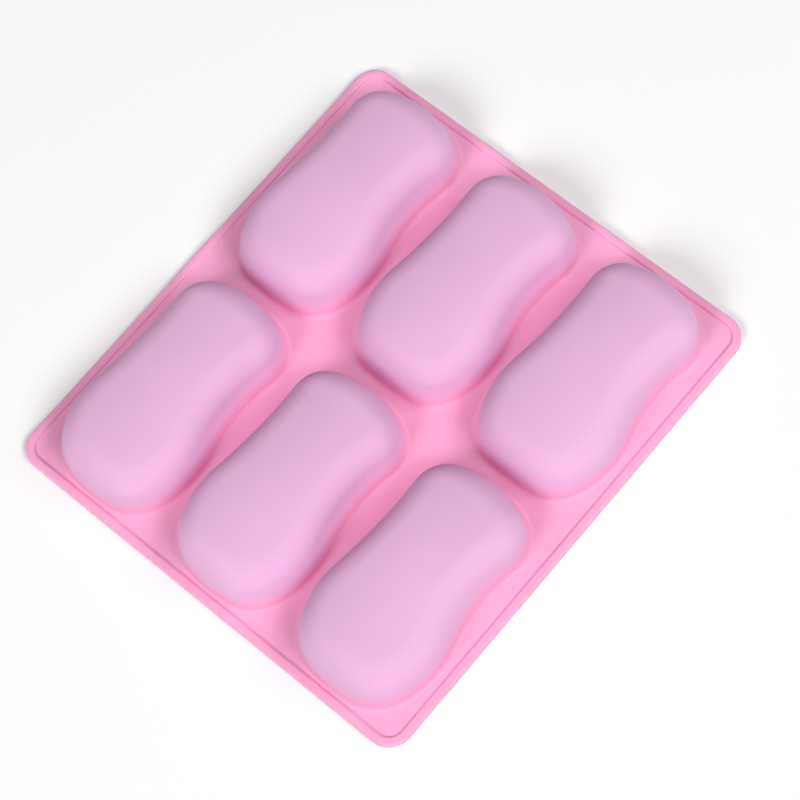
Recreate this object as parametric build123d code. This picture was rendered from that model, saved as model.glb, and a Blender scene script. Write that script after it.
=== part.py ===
"""Flexible silicone mould for six soap bars, resting on its pouring rim with the cups standing up.

Origin: centre of the footprint, on the surface that the rim rests on.
+X runs along the long side of the tray, +Y along the short side, +Z from the pouring side to the cup floors.
The mould is one flexible skin. Each region that a person would name is a solid of its own: the bead round the
rim, the deck, and for each cup its wall and its floor, which a thumb presses in to push a bar out.
"""
import os
from math import atan2, cos, hypot, radians, sin, sqrt, tan

from build123d import *

# Tray
TRAY_LENGTH = 240.0
TRAY_WIDTH = 216.8
TRAY_CORNER_R = 11.0
SKIN = 2.5  # thickness of the deck, the cup walls and the cup floors
BEAD_WIDTH = 4.0
BEAD_HEIGHT = 3.8
BEAD_ROUND = 1.2

# Cups: two columns along X, three rows along Y
COLUMNS = "ab"  # from -X to +X
ROWS = "123"  # from +Y to -Y
PITCH_X = 117.0
PITCH_Y = 68.4

# Outline of a cup where it meets the deck, from the middle of the cup
HALF_LENGTH = 56.0
LARGE_END_R = 72.0
SMALL_END_R = 46.0
LARGE_CORNER_R = 22.0
SMALL_CORNER_R = 19.0
LARGE_LOBE_X = -23.0
LARGE_LOBE_R = 50.0
# For each long side: half width at the large lobe and at the small lobe, and the radius of the waist
FAR_SIDE = (31.8, 29.0, 200.0)
NEAR_SIDE = (32.0, 29.0, 85.0)

# Section of a cup
CUP_HEIGHT = 25.0  # from the deck's top to the outer edge of the floor
CROWN_RISE = 4.0  # height of the floor's middle above its edge
CROWN_HALF_LENGTH = 50.0
CROWN_HALF_WIDTH = 26.0
CROWN_SWEEP = 30.0  # degrees of the torus that the domed floor is cut from
DRAFT = 11.0  # degrees that the wall leans in
SHOULDER_R = 14.0
FOOT_R = 2.5
MOUTH_R = 1.2
FLOOR_START = SKIN + 13.0  # height where a wall ends and the floor panel starts

TOP = SKIN + CUP_HEIGHT + CROWN_RISE
WALL_START = SKIN + FOOT_R
LEAN = tan(radians(DRAFT))
CLEAR = 1.0  # how far a cutting solid runs past what it cuts


def centre_from(first, first_reach, second, second_reach):
    """The point at given distances from two centres, on the left hand looking from the first to the second."""
    run = second[0] - first[0]
    rise = second[1] - first[1]
    apart = hypot(run, rise)
    along = (first_reach**2 - second_reach**2 + apart**2) / (2 * apart)
    across = sqrt(first_reach**2 - along**2)
    x = first[0] + (along * run - across * rise) / apart
    y = first[1] + (along * rise + across * run) / apart
    return (x, y)


def direction(start, end):
    """Angle of the line from one point to another."""
    return atan2(end[1] - start[1], end[0] - start[0])


def long_side(side, inset):
    """Start, middle and end points of the four arcs of one long side, from -X to +X, for y above zero."""
    large_half, small_half, waist_r = side
    large_end = (LARGE_END_R - HALF_LENGTH, 0)
    small_end = (HALF_LENGTH - SMALL_END_R, 0)
    lobe = (LARGE_LOBE_X, large_half - LARGE_LOBE_R)
    # Each arc runs into the next without a corner, which fixes how far apart their centres are
    large = centre_from(lobe, LARGE_LOBE_R - LARGE_CORNER_R, large_end, LARGE_END_R - LARGE_CORNER_R)
    small_y = small_half - SMALL_CORNER_R
    small = (small_end[0] + sqrt((SMALL_END_R - SMALL_CORNER_R) ** 2 - small_y**2), small_y)
    waist = centre_from(lobe, LARGE_LOBE_R + waist_r, small, SMALL_CORNER_R + waist_r)
    arcs = (
        (large, LARGE_CORNER_R - inset, direction(large_end, large), direction(lobe, large)),
        (lobe, LARGE_LOBE_R - inset, direction(lobe, large), direction(lobe, waist)),
        (waist, waist_r + inset, direction(waist, lobe), direction(waist, small)),
        (small, SMALL_CORNER_R - inset, direction(small, waist), direction(small_end, small)),
    )
    points = []
    for centre, radius, first, last in arcs:
        angles = (first, (first + last) / 2, last)
        points.append([(centre[0] + radius * cos(a), centre[1] + radius * sin(a)) for a in angles])
    return points


def cup_outline(inset, z):
    """Face at height z inside the cup's outline, which is moved inwards by inset."""
    far = long_side(FAR_SIDE, inset)
    near = [[(x, -y) for x, y in arc] for arc in long_side(NEAR_SIDE, inset)]
    small_end = [far[-1][-1], (HALF_LENGTH - inset, 0), near[-1][-1]]
    large_end = [far[0][0], (inset - HALF_LENGTH, 0), near[0][0]]
    arcs = far + near + [small_end, large_end]
    edges = [Edge.make_three_point_arc(*[Vector(x, y, z) for x, y in arc]) for arc in arcs]
    return Face(Wire(edges))


def under_dome(drop):
    """Solid below the domed top, lowered by drop: part of a torus that curves along X and along Y."""
    along_r = (CROWN_HALF_LENGTH**2 + CROWN_RISE**2) / (2 * CROWN_RISE) - drop
    across_r = (CROWN_HALF_WIDTH**2 + CROWN_RISE**2) / (2 * CROWN_RISE) - drop
    top = TOP - drop
    section = Face(Wire([Edge.make_circle(across_r, Plane((0, 0, top - across_r), z_dir=(1, 0, 0)))]))
    axis = Axis((0, 0, top - along_r), (0, 1, 0))
    return revolve(section.rotate(axis, -CROWN_SWEEP / 2), axis, CROWN_SWEEP)


def cup_solid(inset, start_z, drop, shoulder_r):
    """Solid cup from start_z up: a leaning wall, a rounded shoulder and a domed top."""
    prism = extrude(cup_outline(inset, start_z), amount=TOP, dir=(0, 0, 1), taper=DRAFT)
    cup = (prism & under_dome(drop)).solid()
    shoulder = cup.edges().filter_by(lambda edge: edge.bounding_box().min.Z > TOP / 2)
    return cup.fillet(shoulder_r, shoulder)


def cup_places():
    """Name and centre of each cup."""
    places = []
    for column, letter in enumerate(COLUMNS):
        for row, digit in enumerate(ROWS):
            x = (column - (len(COLUMNS) - 1) / 2) * PITCH_X
            y = ((len(ROWS) - 1) / 2 - row) * PITCH_Y
            places.append((letter + digit, Pos(x, y, 0)))
    return places


def slab(length, width, corner_r, height):
    """Plate with rounded corners, standing on z = 0."""
    return extrude(RectangleRounded(length, width, corner_r), height)


def rim_bead():
    """Raised strip round the outer edge, rounded along both of its top edges."""
    outer = slab(TRAY_LENGTH, TRAY_WIDTH, TRAY_CORNER_R, BEAD_HEIGHT)
    hole = slab(
        TRAY_LENGTH - 2 * BEAD_WIDTH, TRAY_WIDTH - 2 * BEAD_WIDTH, TRAY_CORNER_R - BEAD_WIDTH, BEAD_HEIGHT
    )
    bead = outer - hole
    return fillet(bead.faces().sort_by(Axis.Z)[-1].edges(), BEAD_ROUND)


def lies_flat_inside(edge, z):
    """True for an edge that lies at height z and stays clear of the deck's outer boundary."""
    box = edge.bounding_box()
    reach_x = TRAY_LENGTH / 2 - BEAD_WIDTH - CLEAR
    reach_y = TRAY_WIDTH / 2 - BEAD_WIDTH - CLEAR
    flat = abs(box.min.Z - z) < CLEAR / 2 and abs(box.max.Z - z) < CLEAR / 2
    return flat and max(-box.min.X, box.max.X) < reach_x and max(-box.min.Y, box.max.Y) < reach_y


def height_band(low, high):
    """Box that holds everything of one cup between two heights."""
    return Pos(0, 0, (low + high) / 2) * Box(2 * PITCH_X, 2 * PITCH_Y, high - low)


def cup_skin():
    """One cup as a skin open at the bottom, and the hollow inside it."""
    outside = cup_solid(0, SKIN, 0, SHOULDER_R)
    # The hollow starts below the deck and stays one skin's thickness from the outside, square to the wall
    hollow_inset = SKIN / cos(radians(DRAFT)) - (SKIN + CLEAR) * LEAN
    hollow = cup_solid(hollow_inset, -CLEAR, SKIN, SHOULDER_R - SKIN)
    return outside - hollow, hollow


def deck(cup, hollow):
    """Flat sheet with the rounded foot of each cup standing on it, and a rounded mouth under each cup."""
    sheet = slab(
        TRAY_LENGTH - 2 * BEAD_WIDTH, TRAY_WIDTH - 2 * BEAD_WIDTH, TRAY_CORNER_R - BEAD_WIDTH, SKIN
    )
    foot = cup & height_band(SKIN, WALL_START)
    for _, place in cup_places():
        sheet = sheet - place * hollow + place * foot
    sheet = sheet.solid()
    feet = [edge for edge in sheet.edges() if lies_flat_inside(edge, SKIN)]
    sheet = sheet.fillet(FOOT_R, feet)
    mouths = [edge for edge in sheet.edges() if lies_flat_inside(edge, 0)]
    return sheet.fillet(MOUTH_R, mouths)


cup, hollow = cup_skin()
parts = {"rim_bead": rim_bead(), "deck": deck(cup, hollow)}
wall = cup & height_band(WALL_START, FLOOR_START)
floor = cup & height_band(FLOOR_START, TOP + CLEAR)
for name, place in cup_places():
    parts["cup_wall_" + name] = place * wall
    parts["cup_floor_" + name] = place * floor

os.makedirs("parts", exist_ok=True)
for name, shape in parts.items():
    export_step(shape, "parts/" + name + ".step")
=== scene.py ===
"""Pink silicone mould for six soap bars, lying on its rim with the cups standing up."""
from math import atan2, cos, hypot, pi, radians, sin, sqrt, tan

import bpy
import numpy as np
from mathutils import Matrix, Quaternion, Vector
from mathutils.geometry import delaunay_2d_cdt


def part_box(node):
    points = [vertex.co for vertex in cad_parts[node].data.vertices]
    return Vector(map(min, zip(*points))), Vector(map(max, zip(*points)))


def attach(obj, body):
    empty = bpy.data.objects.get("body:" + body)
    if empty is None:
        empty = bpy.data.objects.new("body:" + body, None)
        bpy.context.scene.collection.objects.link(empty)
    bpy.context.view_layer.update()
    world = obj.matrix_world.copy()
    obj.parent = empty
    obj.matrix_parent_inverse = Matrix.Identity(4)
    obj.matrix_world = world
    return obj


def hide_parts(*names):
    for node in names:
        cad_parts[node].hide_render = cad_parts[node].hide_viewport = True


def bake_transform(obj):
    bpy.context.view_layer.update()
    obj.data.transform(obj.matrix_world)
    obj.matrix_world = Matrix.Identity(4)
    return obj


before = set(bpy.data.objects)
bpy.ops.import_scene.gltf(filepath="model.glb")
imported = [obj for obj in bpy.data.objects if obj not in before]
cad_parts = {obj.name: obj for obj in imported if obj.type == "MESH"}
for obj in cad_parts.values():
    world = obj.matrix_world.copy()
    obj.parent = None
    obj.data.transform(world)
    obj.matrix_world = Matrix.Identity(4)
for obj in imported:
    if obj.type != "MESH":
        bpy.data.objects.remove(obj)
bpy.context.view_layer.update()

# Sizes are in millimetres until a mesh is made
MM = 0.001

# Section of the skin
SKIN = 2.5
DRAFT = radians(11.0)
SHOULDER_R = 14.0
FOOT_R = 2.5
MOUTH_R = 1.2
CUP_HEIGHT = 25.0
CROWN_RISE = 4.0
CROWN_HALF_LENGTH = 50.0
CROWN_HALF_WIDTH = 26.0
TOP = SKIN + CUP_HEIGHT + CROWN_RISE

# How far the rounded foot of a cup reaches past the outline
FOOT_REACH = FOOT_R * tan(pi / 4 - DRAFT / 2)

# Outline of a cup where its wall would meet the deck
HALF_LENGTH = 56.0
LARGE_END_R = 72.0
SMALL_END_R = 46.0
LARGE_CORNER_R = 22.0
SMALL_CORNER_R = 19.0
LARGE_LOBE_X = -23.0
LARGE_LOBE_R = 50.0
# For each long side: half width at the large lobe and at the small lobe, and the radius of the waist
FAR_SIDE = (31.8, 29.0, 200.0)
NEAR_SIDE = (32.0, 29.0, 85.0)

# Rim
BEAD_WIDTH = 4.0
BEAD_HEIGHT = 3.8
BEAD_ROUND = 1.2
BEAD_UNDER_ROUND = 0.5
TRAY_LENGTH = 240.0
TRAY_WIDTH = 216.8
TRAY_CORNER_R = 11.0
DECK_INSET = 3.0  # the deck's edge, inside the bead

# How finely the meshes are cut
SIDE_STEPS = 170
FOOT_STEPS = 8
WALL_STEPS = 10
SHOULDER_STEPS = 16
CROWN_STEPS = 12
MOUTH_STEPS = 6
UNDER_STEPS = 2
CORNER_STEPS = 20
STRAIGHT_STEP = 3.0
ROUND_STEPS = 8
DECK_GRID = 7.0
INSIDE_WITH_HOLES = 2  # the triangulation keeps what is inside the outer loop and outside the others
SPINE_SHARE = 0.5  # length of the line down the middle of a cup floor, as a share of the floor's length
SHOULDER_ROUNDS = 12  # how often the place of the shoulder is worked out again
MERGE_DISTANCE = 1e-6  # points of the deck that lie closer than this are one

# Silicone: the deck's pink turns into the cup floors' pink between two heights, in metres. Both are the
# silicone's own pink with painted light in them: the deck's warmer pink is painted light bounced between the
# pink walls, and the floors' cooler lilac is painted cool light from above.
DECK_PINK_WITH_PAINTED_BOUNCE = (0.95, 0.42, 0.64)
CROWN_PINK_WITH_PAINTED_TOP_LIGHT = (0.81, 0.465, 0.71)
PAINTED_LIGHT_TINT_START = 0.003
PAINTED_LIGHT_TINT_END = 0.014
IOR = 1.41
SPECULAR = 0.15
SCATTER_SHARE = 0.25
SCATTER_RADII = (1.0, 0.25, 0.4)  # red light travels furthest
SCATTER_REACH = 0.003

# Noises in the silicone: scale to the metre, detail and roughness
CLOUDS = (22.0, 3.0, 0.5)
PATCHES = (45.0, 4.0, 0.6)
WAVES = (70.0, 1.0, 0.5)
GRAIN = (1600.0, 2.0, 0.6)
NOISE_RANGE = (0.3, 0.7)
TONE_RANGE = (0.975, 1.025)
ROUGHNESS_RANGE = (0.56, 0.7)
WAVE_BUMP = {"Strength": 0.5, "Distance": 0.00012}
GRAIN_BUMP = {"Strength": 0.35, "Distance": 0.00003}

# Studio, in metres
FLOOR_WHITE = (0.99, 0.99, 0.99)
FLOOR_ROUGHNESS = 0.9
FLOOR_SIZE = 6.0
FLOOR_Z = -0.0002
WORLD_STRENGTH = 0.02
LIGHT_DISTANCE = 6.0
LIGHT_SIZE = 2.4
LIGHTS = (
    # name, direction, power in watts
    ("front", (0.0, -0.7, 0.72), 166.0),
    ("left", (-0.77, 0.0, 0.64), 192.0),
    ("front_right", (0.5, -0.5, 0.72), 96.0),
    ("above", (0.0, 0.0, 1.0), 52.0),
)

# Camera, in metres
CAMERA_AT = (-0.2486, -0.3665, 1.0880)
CAMERA_AIM = (0.00275, -0.00792, 0.0)
CAMERA_ROLL = radians(-15.66)
FOCAL_LENGTH = 121.66  # in millimetres, as is the sensor
SENSOR_WIDTH = 36.0
CLIP_END = 20.0


def to_mm(node):
    """Lowest and highest corner of a CAD node, in millimetres."""
    low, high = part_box(node)
    return np.array(low) / MM, np.array(high) / MM


def unit(v):
    """Vectors scaled to length one."""
    return v / np.linalg.norm(v, axis=-1, keepdims=True)


# ---------------------------------------------------------------- outline of a cup


def centre_from(first, first_reach, second, second_reach):
    """The point at given distances from two centres, on the left hand when looking from first to second."""
    run = second[0] - first[0]
    rise = second[1] - first[1]
    apart = hypot(run, rise)
    along = (first_reach**2 - second_reach**2 + apart**2) / (2 * apart)
    across = sqrt(first_reach**2 - along**2)
    x = first[0] + (along * run - across * rise) / apart
    y = first[1] + (along * rise + across * run) / apart
    return (x, y)


def direction(start, end):
    """Angle of the line from one point to another."""
    return atan2(end[1] - start[1], end[0] - start[0])


def side_arcs(side):
    """Arcs of one long side, from -X to +X: centre, radius, first and last angle, and if it bulges out."""
    large_half, small_half, waist_r = side
    large_end = (LARGE_END_R - HALF_LENGTH, 0)
    small_end = (HALF_LENGTH - SMALL_END_R, 0)
    lobe = (LARGE_LOBE_X, large_half - LARGE_LOBE_R)
    large = centre_from(lobe, LARGE_LOBE_R - LARGE_CORNER_R, large_end, LARGE_END_R - LARGE_CORNER_R)
    small_y = small_half - SMALL_CORNER_R
    small = (small_end[0] + sqrt((SMALL_END_R - SMALL_CORNER_R) ** 2 - small_y**2), small_y)
    waist = centre_from(lobe, LARGE_LOBE_R + waist_r, small, SMALL_CORNER_R + waist_r)
    return (
        (large_end, LARGE_END_R, pi, direction(large_end, large), True),
        (large, LARGE_CORNER_R, direction(large_end, large), direction(lobe, large), True),
        (lobe, LARGE_LOBE_R, direction(lobe, large), direction(lobe, waist), True),
        (waist, waist_r, direction(waist, lobe), direction(waist, small), False),
        (small, SMALL_CORNER_R, direction(small, waist), direction(small_end, small), True),
        (small_end, SMALL_END_R, direction(small_end, small), 0.0, True),
    )


def walk_side(side):
    """Points evenly spaced along one long side, tip to tip, and the inward direction at each."""
    arcs = side_arcs(side)
    lengths = [radius * abs(last - first) for _, radius, first, last, _ in arcs]
    ends = np.cumsum(lengths)
    points = []
    inwards = []
    for distance in np.linspace(0, ends[-1], SIDE_STEPS + 1):
        k = min(int(np.searchsorted(ends, distance)), len(arcs) - 1)
        centre, radius, first, last, bulges = arcs[k]
        share = 1 - (ends[k] - distance) / lengths[k]
        angle = first + (last - first) * share
        outwards = np.array([cos(angle), sin(angle)])
        points.append(np.array(centre) + radius * outwards)
        inwards.append(-outwards if bulges else outwards)
    return np.array(points), np.array(inwards)


def cup_outline():
    """Closed outline: the far side from the -X tip to the +X tip, then the near side back."""
    flip = np.array([1, -1])
    far, far_in = walk_side(FAR_SIDE)
    near, near_in = walk_side(NEAR_SIDE)
    points = np.vstack([far, (near * flip)[-2:0:-1]])
    inwards = np.vstack([far_in, (near_in * flip)[-2:0:-1]])
    return points, inwards


# ---------------------------------------------------------------- section of a cup


def crown(xy, drop=0.0):
    """Height and upward normal of the domed floor, lowered by drop, at points in the cup's own plan."""
    along_r = (CROWN_HALF_LENGTH**2 + CROWN_RISE**2) / (2 * CROWN_RISE) - drop
    across_r = (CROWN_HALF_WIDTH**2 + CROWN_RISE**2) / (2 * CROWN_RISE) - drop
    x = xy[..., 0]
    y = xy[..., 1]
    ring = along_r - across_r + np.sqrt(across_r**2 - y**2)
    z = TOP - drop - along_r + np.sqrt(ring**2 - x**2)
    tube_x = (along_r - across_r) * x / ring
    tube_z = (along_r - across_r) * np.sqrt(ring**2 - x**2) / ring
    normal = np.stack([x - tube_x, y, z - (TOP - drop - along_r) - tube_z], -1)
    return z, unit(normal)


def wall_normal(inwards):
    """Outward normal of the leaning wall."""
    flat = -cos(DRAFT) * inwards
    return np.column_stack([flat, np.full(len(flat), sin(DRAFT))])


def lifted(points, inwards, inset, z):
    """Points of a ring at one inset from the outline and one height."""
    flat = points + inset * inwards
    return np.column_stack([flat, np.full(len(flat), z)])


def shoulder_centres(points, inwards):
    """Centres of the ball that rounds the shoulder: it touches the wall and the crown from inside."""
    inset = np.full(len(points), SHOULDER_R)
    for _ in range(SHOULDER_ROUNDS):
        flat = points + inset[:, None] * inwards
        z, _ = crown(flat, SHOULDER_R)
        inset = (z - SKIN) * tan(DRAFT) + SHOULDER_R / cos(DRAFT)
    flat = points + inset[:, None] * inwards
    z, up = crown(flat, SHOULDER_R)
    return np.column_stack([flat, z]), up


def outside_rings(points, inwards):
    """Rings of the outer surface from the deck to the crown, each as points and normals."""
    leaning = wall_normal(inwards)
    flat_in = np.column_stack([inwards, np.zeros(len(inwards))])
    foot_centre = lifted(points, inwards, -FOOT_REACH, SKIN + FOOT_R)
    rings = []
    for turn in np.linspace(0, pi / 2 - DRAFT, FOOT_STEPS + 1):
        normal = -sin(turn) * flat_in + np.array([0, 0, cos(turn)])
        rings.append((foot_centre - FOOT_R * normal, normal))
    centres, up = shoulder_centres(points, inwards)
    foot_top = rings[-1][0]
    shoulder_foot = centres + SHOULDER_R * leaning
    for share in np.linspace(0, 1, WALL_STEPS + 1)[1:]:
        rings.append((foot_top + share * (shoulder_foot - foot_top), leaning))
    between = np.arccos(np.clip((leaning * up).sum(1), -1, 1))[:, None]
    for share in np.linspace(0, 1, SHOULDER_STEPS + 1)[1:]:
        normal = (np.sin((1 - share) * between) * leaning + np.sin(share * between) * up) / np.sin(between)
        rings.append((centres + SHOULDER_R * normal, normal))
    return rings


def spine_points(last_ring):
    """The line down the middle of the cup floor that the two sides meet on, one point for each far point."""
    half = SIDE_STEPS
    far_x = last_ring[: half + 1, 0]
    near_x = np.concatenate([last_ring[:1, 0], last_ring[: half - 1 : -1, 0]])
    return np.column_stack([SPINE_SHARE * (far_x + near_x) / 2, np.zeros(half + 1)])


def facing_points():
    """For each point of a closed ring, the spine point that it faces."""
    half = SIDE_STEPS
    return np.concatenate([np.arange(half + 1), np.arange(half - 1, 0, -1)])


def crown_rings(last_ring):
    """Rings that close the crown towards the spine, and the spine itself."""
    spine = spine_points(last_ring)
    facing = spine[facing_points()]
    rings = []
    for share in np.linspace(0, 1, CROWN_STEPS + 1)[1:-1]:
        flat = last_ring[:, :2] + share * (facing - last_ring[:, :2])
        z, normal = crown(flat)
        rings.append((np.column_stack([flat, z]), normal))
    z, normal = crown(spine)
    return rings, (np.column_stack([spine, z]), normal)


def under_rings(points, inwards):
    """Rings of the underside, from the deck's edge of the piece to the top of the rounded mouth."""
    flat_in = np.column_stack([inwards, np.zeros(len(inwards))])
    wall_inset = SKIN / cos(DRAFT) + (MOUTH_R - SKIN) * tan(DRAFT)
    mouth_inset = wall_inset - MOUTH_R / cos(DRAFT)
    down = np.tile(np.array([0.0, 0.0, -1.0]), (len(points), 1))
    rings = []
    for share in np.linspace(0, 1, UNDER_STEPS + 1):
        inset = -FOOT_REACH + share * (mouth_inset + FOOT_REACH)
        rings.append((lifted(points, inwards, inset, 0), down))
    centre = lifted(points, inwards, mouth_inset, MOUTH_R)
    for turn in np.linspace(0, pi / 2 - DRAFT, MOUTH_STEPS + 1)[1:]:
        normal = sin(turn) * flat_in + np.array([0, 0, -cos(turn)])
        rings.append((centre + MOUTH_R * normal, normal))
    return rings


# ---------------------------------------------------------------- meshes


def make_object(name, vertices, faces, normals):
    """Mesh object, in metres, with its own smooth normals."""
    mesh = bpy.data.meshes.new(name)
    mesh.from_pydata((np.asarray(vertices) * MM).tolist(), [], faces)
    mesh.polygons.foreach_set("use_smooth", [True] * len(mesh.polygons))
    mesh.update()
    mesh.normals_split_custom_set(normals)
    # The material reads the places at rest, so that its pattern moves with the skin
    rest = mesh.attributes.new("rest", "FLOAT_VECTOR", "POINT")
    rest.data.foreach_set("vector", (np.asarray(vertices, dtype=np.float32) * MM).ravel())
    obj = bpy.data.objects.new(name, mesh)
    bpy.context.collection.objects.link(obj)
    return obj


class Skin:
    """Collects rings of points and the faces between them."""

    def __init__(self):
        self.points = []
        self.faces = []
        self.corner_normals = []
        self.count = 0

    def add(self, points):
        """Adds points and returns their numbers."""
        numbers = np.arange(len(points)) + self.count
        self.points.append(points)
        self.count += len(points)
        return numbers

    def face(self, numbers, normals):
        """Adds one face with a normal for each of its corners."""
        self.faces.append([int(n) for n in numbers])
        self.corner_normals.extend(tuple(float(c) for c in normal) for normal in normals)

    def band(self, low, low_normals, high, high_normals):
        """Faces between two closed rings, which look to the left when the rings are walked with high above."""
        size = len(low)
        for i in range(size):
            j = (i + 1) % size
            self.face(
                (low[i], high[i], high[j], low[j]),
                (low_normals[i], high_normals[i], high_normals[j], low_normals[j]),
            )

    def stack(self, rings, numbers):
        """Bands through a list of rings."""
        for k in range(len(rings) - 1):
            self.band(numbers[k], rings[k][1], numbers[k + 1], rings[k + 1][1])

    def close(self, ring, ring_normals, spine, spine_normals, inside):
        """Faces from the last ring to the spine, where the far side and the near side meet."""
        facing = facing_points()
        size = len(ring)
        for i in range(size):
            j = (i + 1) % size
            corners = [(ring, ring_normals, i), (spine, spine_normals, facing[i])]
            corners += [(spine, spine_normals, facing[j]), (ring, ring_normals, j)]
            if inside:
                corners.reverse()
            self.face([numbers[k] for numbers, _, k in corners], [normals[k] for _, normals, k in corners])

    def build(self, name):
        """The finished object."""
        return make_object(name, np.vstack(self.points), self.faces, self.corner_normals)


def inner(ring):
    """The ring of the inner surface that lies one skin's thickness under a ring of the outer surface."""
    points, normals = ring
    return points - SKIN * normals, -normals


def cup_centre(letter_digit):
    """Middle of a cup's outline, from its wall's box in the frame."""
    low, high = to_mm("cup_wall_" + letter_digit)
    lopsided = (NEAR_SIDE[0] - FAR_SIDE[0]) / 2
    return np.array([(low[0] + high[0]) / 2, (low[1] + high[1]) / 2 + lopsided, 0.0])


def cup_piece(name, centre):
    """One cup as a closed skin: outer surface, inner surface and the edge where it joins the deck."""
    points, inwards = cup_outline()
    outside = outside_rings(points, inwards)
    crown_part, spine = crown_rings(outside[-1][0])
    outer = outside + crown_part
    inner_rings = [inner(ring) for ring in outer[FOOT_STEPS:]]
    under_spine = inner(spine)
    under = under_rings(points, inwards) + inner_rings
    skin = Skin()
    outer_numbers = [skin.add(ring[0]) for ring in outer]
    spine_numbers = skin.add(spine[0])
    under_numbers = [skin.add(ring[0]) for ring in under]
    under_spine_numbers = skin.add(under_spine[0])
    skin.stack(outer, outer_numbers)
    skin.close(outer_numbers[-1], outer[-1][1], spine_numbers, spine[1], False)
    # The inside is walked the other way round, so that its faces look into the cup
    reversed_rings = [(ring[0][::-1], ring[1][::-1]) for ring in under]
    skin.stack(reversed_rings, [numbers[::-1] for numbers in under_numbers])
    skin.close(under_numbers[-1], under[-1][1], under_spine_numbers, under_spine[1], True)
    edge_normals = np.column_stack([-inwards, np.zeros(len(inwards))])
    skin.band(under_numbers[0], edge_normals, outer_numbers[0], edge_normals)
    for block in skin.points:
        block += centre
    return skin.build(name)


def tray_loop(inset):
    """Points round the tray at an inset from its edge, clockwise, and the outward direction at each."""
    half_x = TRAY_LENGTH / 2 - TRAY_CORNER_R
    half_y = TRAY_WIDTH / 2 - TRAY_CORNER_R
    corners = np.array([(half_x, half_y), (-half_x, half_y), (-half_x, -half_y), (half_x, -half_y)])
    centres = []
    outwards = []
    for k, corner in enumerate(corners):
        step = corners[(k + 1) % 4] - corner
        for turn in np.linspace(k, k + 1, CORNER_STEPS + 1) * pi / 2:
            centres.append(corner)
            outwards.append((cos(turn), sin(turn)))
        pieces = round(hypot(*step) / STRAIGHT_STEP)
        for share in np.linspace(0, 1, pieces + 1)[1:-1]:
            centres.append(corner + share * step)
            outwards.append(outwards[-1])
    outwards = np.array(outwards)
    points = np.array(centres) + (TRAY_CORNER_R - inset) * outwards
    return points[::-1], outwards[::-1]


def bead_section():
    """Section of the bead as insets, heights and normals: up its outer face, over the top and down inside."""
    top = BEAD_HEIGHT - BEAD_ROUND
    rounds = (
        (BEAD_UNDER_ROUND, BEAD_UNDER_ROUND, BEAD_UNDER_ROUND, -pi / 2),
        (BEAD_ROUND, top, BEAD_ROUND, 0.0),
        (BEAD_WIDTH - BEAD_ROUND, top, BEAD_ROUND, pi / 2),
    )
    section = []
    for inset, z, radius, start in rounds:
        for angle in np.linspace(start, start + pi / 2, ROUND_STEPS + 1):
            out = cos(angle)
            up = sin(angle)
            section.append((inset - radius * out, z + radius * up, out, up))
    # The last two lie inside the deck and where its underside takes over
    section.append((BEAD_WIDTH, SKIN / 2, -1.0, 0.0))
    section.append((DECK_INSET, 0.0, 0.0, -1.0))
    return section


def bead_piece(name):
    """The raised strip round the tray's edge."""
    skin = Skin()
    rings = []
    for inset, z, out, up in bead_section():
        points, outwards = tray_loop(inset)
        flat = np.column_stack([points, np.full(len(points), z)])
        rings.append((flat, np.column_stack([out * outwards, np.full(len(points), up)])))
    rings.append(rings[0])
    numbers = [skin.add(ring[0]) for ring in rings[:-1]]
    skin.stack(rings, numbers + numbers[:1])
    return skin.build(name)


def deck_plan(centres):
    """Points of the deck in plan, which has a hole for each cup, and the triangles between them."""
    outline, inwards = cup_outline()
    hole = outline - FOOT_REACH * inwards
    loops = [tray_loop(DECK_INSET)[0]] + [hole + centre[:2] for centre in centres]
    half_x = TRAY_LENGTH / 2 - DECK_INSET
    half_y = TRAY_WIDTH / 2 - DECK_INSET
    across = np.arange(DECK_GRID - half_x, half_x, DECK_GRID)
    along = np.arange(DECK_GRID - half_y, half_y, DECK_GRID)
    grid = np.stack(np.meshgrid(across, along), -1).reshape(-1, 2)
    starts = np.cumsum([0] + [len(loop) for loop in loops])
    rounds = [list(range(starts[k], starts[k + 1])) for k in range(len(loops))]
    plan = [Vector(p) for p in np.vstack(loops + [grid])]
    flat, _, triangles, *_ = delaunay_2d_cdt(plan, [], rounds, INSIDE_WITH_HOLES, MERGE_DISTANCE)
    used = sorted({n for triangle in triangles for n in triangle})
    number = {n: i for i, n in enumerate(used)}
    points = np.array([(flat[n].x, flat[n].y) for n in used])
    return points, [[number[n] for n in triangle] for triangle in triangles]


def border_edges(triangles):
    """Edges that only one triangle has, each in the order in which that triangle walks it."""
    edges = {}
    for corners in triangles:
        for a, b in zip(corners, corners[1:] + corners[:1]):
            edges[(a, b)] = True
    return [(a, b) for a, b in edges if (b, a) not in edges]


def deck_piece(name, centres):
    """The flat plate between the cups."""
    points, triangles = deck_plan(centres)
    top = np.column_stack([points, np.full(len(points), SKIN)])
    skin = Skin()
    above = skin.add(top)
    below = skin.add(top * (1, 1, 0))
    for corners in triangles:
        skin.face(above[corners], [(0, 0, 1)] * 3)
        skin.face(below[corners[::-1]], [(0, 0, -1)] * 3)
    for a, b in border_edges(triangles):
        run = points[b] - points[a]
        out = np.array([run[1], -run[0], 0]) / hypot(*run)
        skin.face((above[a], below[a], below[b], above[b]), [out] * 4)
    return skin.build(name)


# ---------------------------------------------------------------- material


def add_node(tree, kind, inputs, **settings):
    """A shader node. Each input is set to a value, or linked if the value is a socket."""
    node = tree.nodes.new(kind)
    for key, value in settings.items():
        setattr(node, key, value)
    for key, value in inputs.items():
        if isinstance(value, bpy.types.NodeSocket):
            tree.links.new(value, node.inputs[key])
        else:
            node.inputs[key].default_value = value
    return node


def noise(tree, place, scale, detail, roughness):
    """Noise laid out over the places at rest."""
    inputs = {"Vector": place, "Scale": scale, "Detail": detail, "Roughness": roughness}
    return add_node(tree, "ShaderNodeTexNoise", inputs).outputs["Fac"]


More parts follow.
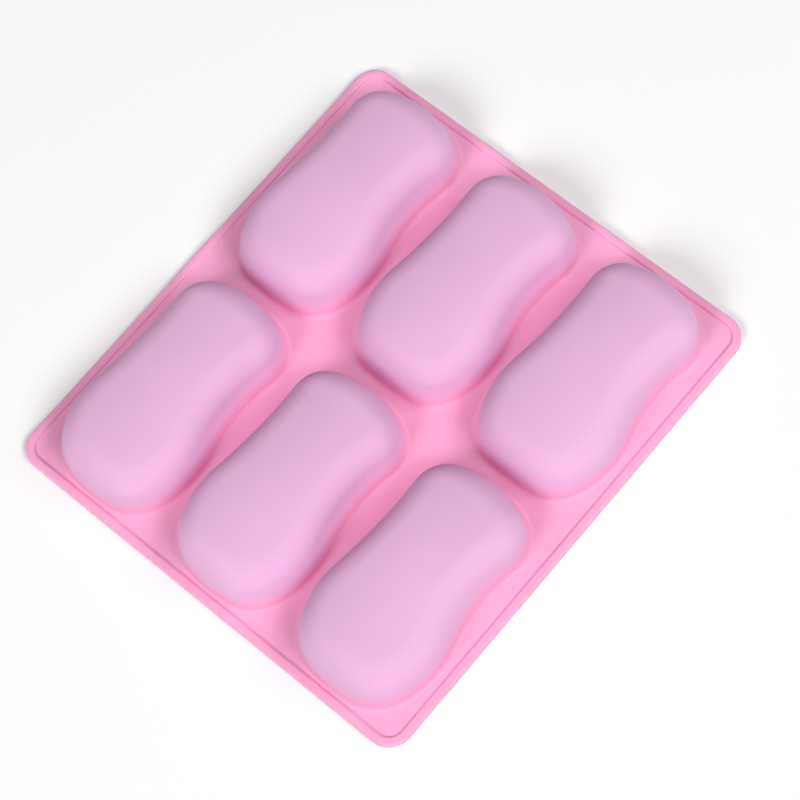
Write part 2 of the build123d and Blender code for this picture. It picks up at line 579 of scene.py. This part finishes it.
def stretched(tree, value, start, end):
    """The usual range of a noise, stretched to run from start to end."""
    low, high = NOISE_RANGE
    inputs = {"Value": value, "From Min": low, "From Max": high, "To Min": start, "To Max": end}
    return add_node(tree, "ShaderNodeMapRange", inputs).outputs["Result"]


def silicone_colour_with_painted_light(tree, place):
    """Painted light by height: warm on the deck for light bounced between pink surfaces, and cooler towards
    the cup floors for cool light from above, with a slow unevenness.
    """
    height = add_node(tree, "ShaderNodeSeparateXYZ", {0: place}).outputs["Z"]
    span = {"Value": height, "From Min": PAINTED_LIGHT_TINT_START, "From Max": PAINTED_LIGHT_TINT_END}
    share = add_node(tree, "ShaderNodeMapRange", span, interpolation_type="SMOOTHSTEP").outputs["Result"]
    pinks = {0: share, 6: (*DECK_PINK_WITH_PAINTED_BOUNCE, 1), 7: (*CROWN_PINK_WITH_PAINTED_TOP_LIGHT, 1)}
    # painted light: the deck pink of bounced light gives way to the lilac of light from above as the height at
    # rest grows
    painted_light_tint = add_node(tree, "ShaderNodeMix", pinks, data_type="RGBA").outputs[2]
    tone = stretched(tree, noise(tree, place, *CLOUDS), *TONE_RANGE)
    product = {0: 1.0, 6: painted_light_tint, 7: tone}
    return add_node(tree, "ShaderNodeMix", product, data_type="RGBA", blend_type="MULTIPLY").outputs[2]


def silicone_surface(tree, place):
    """Slow waviness of the soft skin under a fine moulded grain."""
    waves = {"Height": noise(tree, place, *WAVES), **WAVE_BUMP}
    wavy = add_node(tree, "ShaderNodeBump", waves).outputs["Normal"]
    grain = {"Height": noise(tree, place, *GRAIN), "Normal": wavy, **GRAIN_BUMP}
    return add_node(tree, "ShaderNodeBump", grain).outputs["Normal"]


def silicone_material():
    """Soft matte silicone that lets a little light in, with glossier patches where it was handled."""
    material = bpy.data.materials.new("silicone")
    material.use_nodes = True
    tree = material.node_tree
    shader = tree.nodes["Principled BSDF"]
    shader.inputs["IOR"].default_value = IOR
    shader.inputs["Specular IOR Level"].default_value = SPECULAR
    shader.inputs["Subsurface Weight"].default_value = SCATTER_SHARE
    shader.inputs["Subsurface Radius"].default_value = SCATTER_RADII
    shader.inputs["Subsurface Scale"].default_value = SCATTER_REACH
    place = add_node(tree, "ShaderNodeAttribute", {}, attribute_name="rest").outputs["Vector"]
    roughness = stretched(tree, noise(tree, place, *PATCHES), *ROUGHNESS_RANGE)
    tree.links.new(silicone_colour_with_painted_light(tree, place), shader.inputs["Base Color"])
    tree.links.new(roughness, shader.inputs["Roughness"])
    tree.links.new(silicone_surface(tree, place), shader.inputs["Normal"])
    return material


def plain_material(name, colour, roughness):
    """One colour, for the floor."""
    material = bpy.data.materials.new(name)
    material.use_nodes = True
    shader = material.node_tree.nodes["Principled BSDF"]
    shader.inputs["Base Color"].default_value = (*colour, 1)
    shader.inputs["Roughness"].default_value = roughness
    return material


# ---------------------------------------------------------------- floor, light and camera


def add_floor():
    """Wide white floor just under the rim."""
    bpy.ops.mesh.primitive_plane_add(size=FLOOR_SIZE, location=(0, 0, FLOOR_Z))
    floor = bpy.context.object
    floor.name = "floor"
    floor.data.materials.append(plain_material("floor", FLOOR_WHITE, FLOOR_ROUGHNESS))


def add_light(name, towards, power):
    """Square soft light that stands in one direction from the middle of the object and faces it."""
    lamp = bpy.data.lights.new(name, "AREA")
    lamp.size = LIGHT_SIZE
    lamp.energy = power
    light = bpy.data.objects.new(name, lamp)
    bpy.context.collection.objects.link(light)
    light.location = Vector(towards).normalized() * LIGHT_DISTANCE
    light.rotation_mode = "QUATERNION"
    light.rotation_quaternion = (-light.location).to_track_quat("-Z", "Y")


def add_world(strength):
    """Even white surroundings."""
    world = bpy.data.worlds.new("studio")
    bpy.context.scene.world = world
    world.use_nodes = True
    background = world.node_tree.nodes["Background"]
    background.inputs["Color"].default_value = (1, 1, 1, 1)
    background.inputs["Strength"].default_value = strength


def add_camera():
    """Long lens, looking steeply down on the cups from the front left, and tilted sideways."""
    lens = bpy.data.cameras.new("camera")
    lens.sensor_width = SENSOR_WIDTH
    lens.lens = FOCAL_LENGTH
    lens.clip_end = CLIP_END
    camera = bpy.data.objects.new("camera", lens)
    bpy.context.collection.objects.link(camera)
    camera.location = CAMERA_AT
    look = (Vector(CAMERA_AIM) - Vector(CAMERA_AT)).to_track_quat("-Z", "Y")
    camera.rotation_mode = "QUATERNION"
    camera.rotation_quaternion = look @ Quaternion((0, 0, 1), CAMERA_ROLL)
    bpy.context.scene.camera = camera


# ---------------------------------------------------------------- the scene

silicone = silicone_material()
cups = [column + row for column in "ab" for row in "123"]
centres = {cup: cup_centre(cup) for cup in cups}

for cup in cups:
    piece = cup_piece("cup_" + cup, centres[cup])
    piece.data.materials.append(silicone)
    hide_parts("cup_wall_" + cup, "cup_floor_" + cup)
    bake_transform(piece)

plate = deck_piece("deck_plate", list(centres.values()))
bead = bead_piece("bead")
for piece, node in ((plate, "deck"), (bead, "rim_bead")):
    piece.data.materials.append(silicone)
    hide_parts(node)
    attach(piece, "tray")

add_floor()
add_world(WORLD_STRENGTH)
for light in LIGHTS:
    add_light(*light)
add_camera()
bpy.context.scene.view_settings.view_transform = "Standard"
